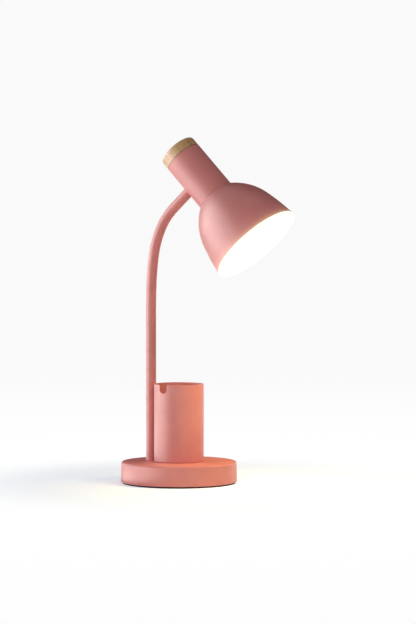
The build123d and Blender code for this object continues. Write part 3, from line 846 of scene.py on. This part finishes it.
def makePlateScrews():
    bm = bmesh.new()
    low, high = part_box("plate_screws")
    reach = high.x - plateScrew["headRadius"]
    seat = low.z + plateScrew["headHeight"]
    for angle in plateScrew["angles"]:
        verts = socketScrew(bm, plateScrew, plateScrew["shankLength"])
        spot = Matrix.Rotation(math.radians(angle), 4, "Z") @ Matrix.Translation((reach, 0, seat))
        bmesh.ops.transform(bm, matrix=spot @ Matrix.Rotation(math.pi, 4, "X"), verts=verts)
    bmesh.ops.recalc_face_normals(bm, faces=bm.faces)
    return finishPiece("plateScrews", bm, [zinc], ["plate_screws"], "base")


def makeCupBolt():
    bm = bmesh.new()
    low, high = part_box("cup_bolt")
    seat = high.z - cupBolt["headHeight"]
    verts = socketScrew(bm, cupBolt, seat - low.z)
    bmesh.ops.transform(bm, matrix=Matrix.Translation((0, 0, seat)), verts=verts)
    bmesh.ops.recalc_face_normals(bm, faces=bm.faces)
    return finishPiece("cupBolt", bm, [zinc], ["cup_bolt"], "base")


makePlateScrews()
makeCupBolt()
print("screws set")


# Camera at the photograph's angle, taking the picture as 416 by 624

camera = {
    "azimuth": 28.0,
    "distance": 3.424,
    "height": 0.356,
    "aim": (0.0331, 0.0176, 0.2205),
    "focalPixels": 2662.0,
    "pictureHeight": 624,
    "sensor": 36.0,
    "farthest": 50.0,
}


def around(azimuth, distance, height):
    turn = math.radians(azimuth)
    return Vector((math.sin(turn) * distance, -math.cos(turn) * distance, height))


def makeCamera():
    data = bpy.data.cameras.new("photoCamera")
    data.sensor_width = camera["sensor"]
    data.lens = camera["focalPixels"] / camera["pictureHeight"] * camera["sensor"]
    data.clip_end = camera["farthest"]
    eye = bpy.data.objects.new("photoCamera", data)
    eye.location = around(camera["azimuth"], camera["distance"], camera["height"])
    eye.rotation_euler = (Vector(camera["aim"]) - eye.location).to_track_quat("-Z", "Y").to_euler()
    scene.collection.objects.link(eye)
    scene.camera = eye


makeCamera()
print("camera placed")


# Studio: pale floor, white surroundings and soft lights

floorLook = {
    "radius": 6.0,
    "opening": 0.0722,
    "sides": 96,
    "sockets": {"Base Color": (0.86, 0.86, 0.86, 1.0), "Roughness": 0.9, "Specular IOR Level": 0.0},
    "lift": 0.42,
    "liftTone": (0.80, 0.89, 1.0, 1.0),
    "shadowReach": (0.13, 0.36),
    "whiteReach": (0.4, 2.5),
}
worldLook = {
    "seen": (0.95, 0.95, 0.95, 1.0),
    "ambient": (0.97, 0.98, 1.0, 1.0),
    "strength": 0.22,
}
darkFlag = {
    "azimuths": (62, 225),
    "profile": ((1.3, 0.0), (1.3, 0.8), (1.0, 1.3), (0.4, 1.6)),
    "steps": 24,
    "sockets": {"Base Color": (0.05, 0.05, 0.05, 1.0), "Roughness": 1.0},
}

# the lights with glossOnly draw just the gleam on the left flanks, and those that spare the base
# would glare on its flat top when it is seen from the other side
softLights = {
    "softbox": {"azimuth": -72, "distance": 0.8, "height": 0.30, "size": (0.95, 0.56), "power": 3.5},
    "sheen": {
        "azimuth": -61, "distance": 0.8, "height": 0.475, "size": (1.15, 0.94), "power": 22.0,
        "glossOnly": True, "spares": ("base_cover",)},
    "card": {
        "azimuth": -76, "distance": 0.40, "height": 0.004, "size": (0.85, 0.55), "power": 5.6,
        "glossOnly": True, "lying": True, "spares": ("base_cover",)},
    "baseCard": {
        "azimuth": -38, "distance": 0.32, "height": 0.004, "size": (0.22, 0.47), "power": 2.5,
        "glossOnly": True, "lying": True, "only": ("base_cover",)},
    "front": {"azimuth": 32, "distance": 2.4, "height": 0.40, "size": (2.0, 1.6), "power": 17.0},
    "right": {"azimuth": 78, "distance": 1.7, "height": 0.35, "size": (0.7, 0.8), "power": 2.5},
    "back": {"azimuth": 170, "distance": 1.7, "height": 0.35, "size": (1.0, 0.7), "power": 6.0},
}

# the lit bulb's light as it leaves the shade, the light on the white inside, and the haze on the rim
mouthLights = {
    "shadeLight": {"radius": 0.05, "ahead": -0.001, "power": 1.5, "colour": (1.0, 0.84, 0.36), "out": 1},
    "shadeGlow": {"radius": 0.071, "ahead": 0.002, "power": 0.06, "colour": (1.0, 0.97, 0.96), "out": -1},
    "rimGlow": {
        "radius": 0.063, "ahead": -0.0004, "power": 0.16, "colour": (0.14, 1.0, 0.24), "out": -1,
        "hole": 0.0612},
}


def seenRays(tree):
    path = treeNode(tree, "ShaderNodeLightPath")
    seen = path.outputs["Is Camera Ray"]
    for ray in ("Is Glossy Ray", "Is Transmission Ray"):
        either = treeNode(tree, "ShaderNodeMath", operation="MAXIMUM")
        tree.links.new(seen, either.inputs[0])
        tree.links.new(path.outputs[ray], either.inputs[1])
        seen = either.outputs["Value"]
    return seen


def makeWorld():
    world = bpy.data.worlds.new("whiteStudio")
    world.use_nodes = True
    scene.world = world
    tree = world.node_tree
    ambient = tree.nodes["Background"]
    ambient.inputs["Color"].default_value = worldLook["ambient"]
    ambient.inputs["Strength"].default_value = worldLook["strength"]
    pale = treeNode(tree, "ShaderNodeBackground")
    pale.inputs["Color"].default_value = worldLook["seen"]
    pale.inputs["Strength"].default_value = 1.0
    mixed = mixedShader(tree, seenRays(tree), ambient.outputs["Background"], pale.outputs["Background"])
    tree.links.new(mixed, tree.nodes["World Output"].inputs["Surface"])


def floorFinish():
    floor = Finish("paleFloor", floorLook["sockets"])
    plain = floor.shader.outputs["BSDF"]
    lift = floor.node("ShaderNodeEmission")
    lift.inputs["Color"].default_value = floorLook["liftTone"]
    lift.inputs["Strength"].default_value = floorLook["lift"]
    lifted = floor.node("ShaderNodeAddShader")
    floor.link(plain, lifted.inputs[0])
    floor.link(lift.outputs["Emission"], lifted.inputs[1])

    # past the lamp's shadow the floor is white, and further off it runs into the surroundings
    reach = floor.node("ShaderNodeVectorMath", operation="LENGTH")
    floor.link(floor.coords(), reach.inputs[0])

    def faded(limits, near=0.0, far=1.0):
        away = floor.node("ShaderNodeMapRange", interpolation_type="SMOOTHSTEP")
        away.inputs["From Min"].default_value, away.inputs["From Max"].default_value = limits
        away.inputs["To Min"].default_value = near
        away.inputs["To Max"].default_value = far
        floor.link(reach.outputs["Value"], away.inputs["Value"])
        return away.outputs["Result"]

    white = floor.node("ShaderNodeEmission")
    floor.link(faded(floorLook["whiteReach"], 1.0, worldLook["seen"][0]), white.inputs["Strength"])
    shown = mixedShader(
        floor.tree, faded(floorLook["shadowReach"]), lifted.outputs["Shader"], white.outputs["Emission"])
    surface = mixedShader(floor.tree, seenRays(floor.tree), plain, shown)
    floor.link(surface, floor.tree.nodes["Material Output"].inputs["Surface"])
    return floor.material


def makeFloor():
    bm = bmesh.new()
    edge = circle(bm, floorLook["sides"], floorLook["radius"])
    opening = circle(bm, floorLook["sides"], floorLook["opening"])  # hidden by the foot pad
    bridge(bm, edge, opening)
    bmesh.ops.recalc_face_normals(bm, faces=bm.faces)
    floor = meshObject("floor", bm, [floorFinish()])


def makeFlag():
    # a dark cloth round the back, seen only in the gloss of the paint
    bm = bmesh.new()
    first, last = (math.radians(azimuth) for azimuth in darkFlag["azimuths"])
    verts = [bm.verts.new((0, -reach, height)) for reach, height in darkFlag["profile"]]
    edges = [bm.edges.new(pair) for pair in zip(verts, verts[1:])]
    bmesh.ops.rotate(bm, cent=(0, 0, 0), matrix=Matrix.Rotation(first, 3, "Z"), verts=verts)
    bmesh.ops.spin(
        bm, geom=verts + edges, cent=(0, 0, 0), axis=(0, 0, 1),
        angle=last - first, steps=darkFlag["steps"])
    cloth = Finish("flagCloth", darkFlag["sockets"])
    flag = meshObject("darkFlag", bm, [cloth.material])
    flag.visible_camera = False
    flag.visible_diffuse = False
    flag.visible_transmission = False
    flag.visible_shadow = False


def areaLight(name, shape, power, place, towards):
    data = bpy.data.lights.new(name, "AREA")
    data.shape = shape
    data.energy = power
    light = bpy.data.objects.new(name, data)
    light.location = place
    light.rotation_euler = (towards - place).to_track_quat("-Z", "Y").to_euler()
    light.visible_camera = False
    scene.collection.objects.link(light)
    return light


def holedLight(light, share):
    # only the edge of the disk shines, and its own coordinates run from 0 to 1 across it
    light.data.use_nodes = True
    tree = light.data.node_tree
    spot = treeNode(tree, "ShaderNodeNewGeometry")
    fromMiddle = treeNode(tree, "ShaderNodeVectorMath", operation="DISTANCE")
    fromMiddle.inputs[1].default_value = (0.5, 0.5, 0.0)
    edge = treeNode(tree, "ShaderNodeMath", operation="GREATER_THAN")
    edge.inputs[1].default_value = share / 2
    tree.links.new(spot.outputs["Parametric"], fromMiddle.inputs[0])
    tree.links.new(fromMiddle.outputs["Value"], edge.inputs[0])
    tree.links.new(edge.outputs["Value"], tree.nodes["Emission"].inputs["Strength"])


def keepLight(light, parts, state):
    chosen = bpy.data.collections.new(light.name + "Parts")
    for part in parts:
        chosen.objects.link(part)
    for entry in chosen.collection_objects:
        entry.light_linking.link_state = state
    light.light_linking.receiver_collection = chosen


def makeLights():
    middle = Vector((0, 0, (cadLow.z + cadHigh.z) / 2))
    for name, look in softLights.items():
        place = around(look["azimuth"], look["distance"], look["height"])
        light = areaLight(name, "RECTANGLE", look["power"], place, middle)
        if look.get("lying"):
            light.rotation_euler = (math.pi, 0, math.radians(look["azimuth"]))
        light.data.size, light.data.size_y = look["size"]
        light.visible_diffuse = not look.get("glossOnly")
        for rule, state in (("spares", "EXCLUDE"), ("only", "INCLUDE")):
            if rule in look:
                keepLight(light, [nodes[part] for part in look[rule]], state)

    for name, look in mouthLights.items():
        mouth = headCentre + headAxis * (head["shadeJoint"] + shade["depth"] + look["ahead"])
        light = areaLight(name, "DISK", look["power"], mouth, mouth + headAxis * look["out"])
        light.data.size = 2 * look["radius"]
        light.data.color = look["colour"]
        light.visible_glossy = False
        if "hole" in look:
            holedLight(light, look["hole"] / look["radius"])
            keepLight(light, [lampShade], "INCLUDE")
        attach(light, "head")


makeWorld()
makeFloor()
makeFlag()
makeLights()
print("studio lit")
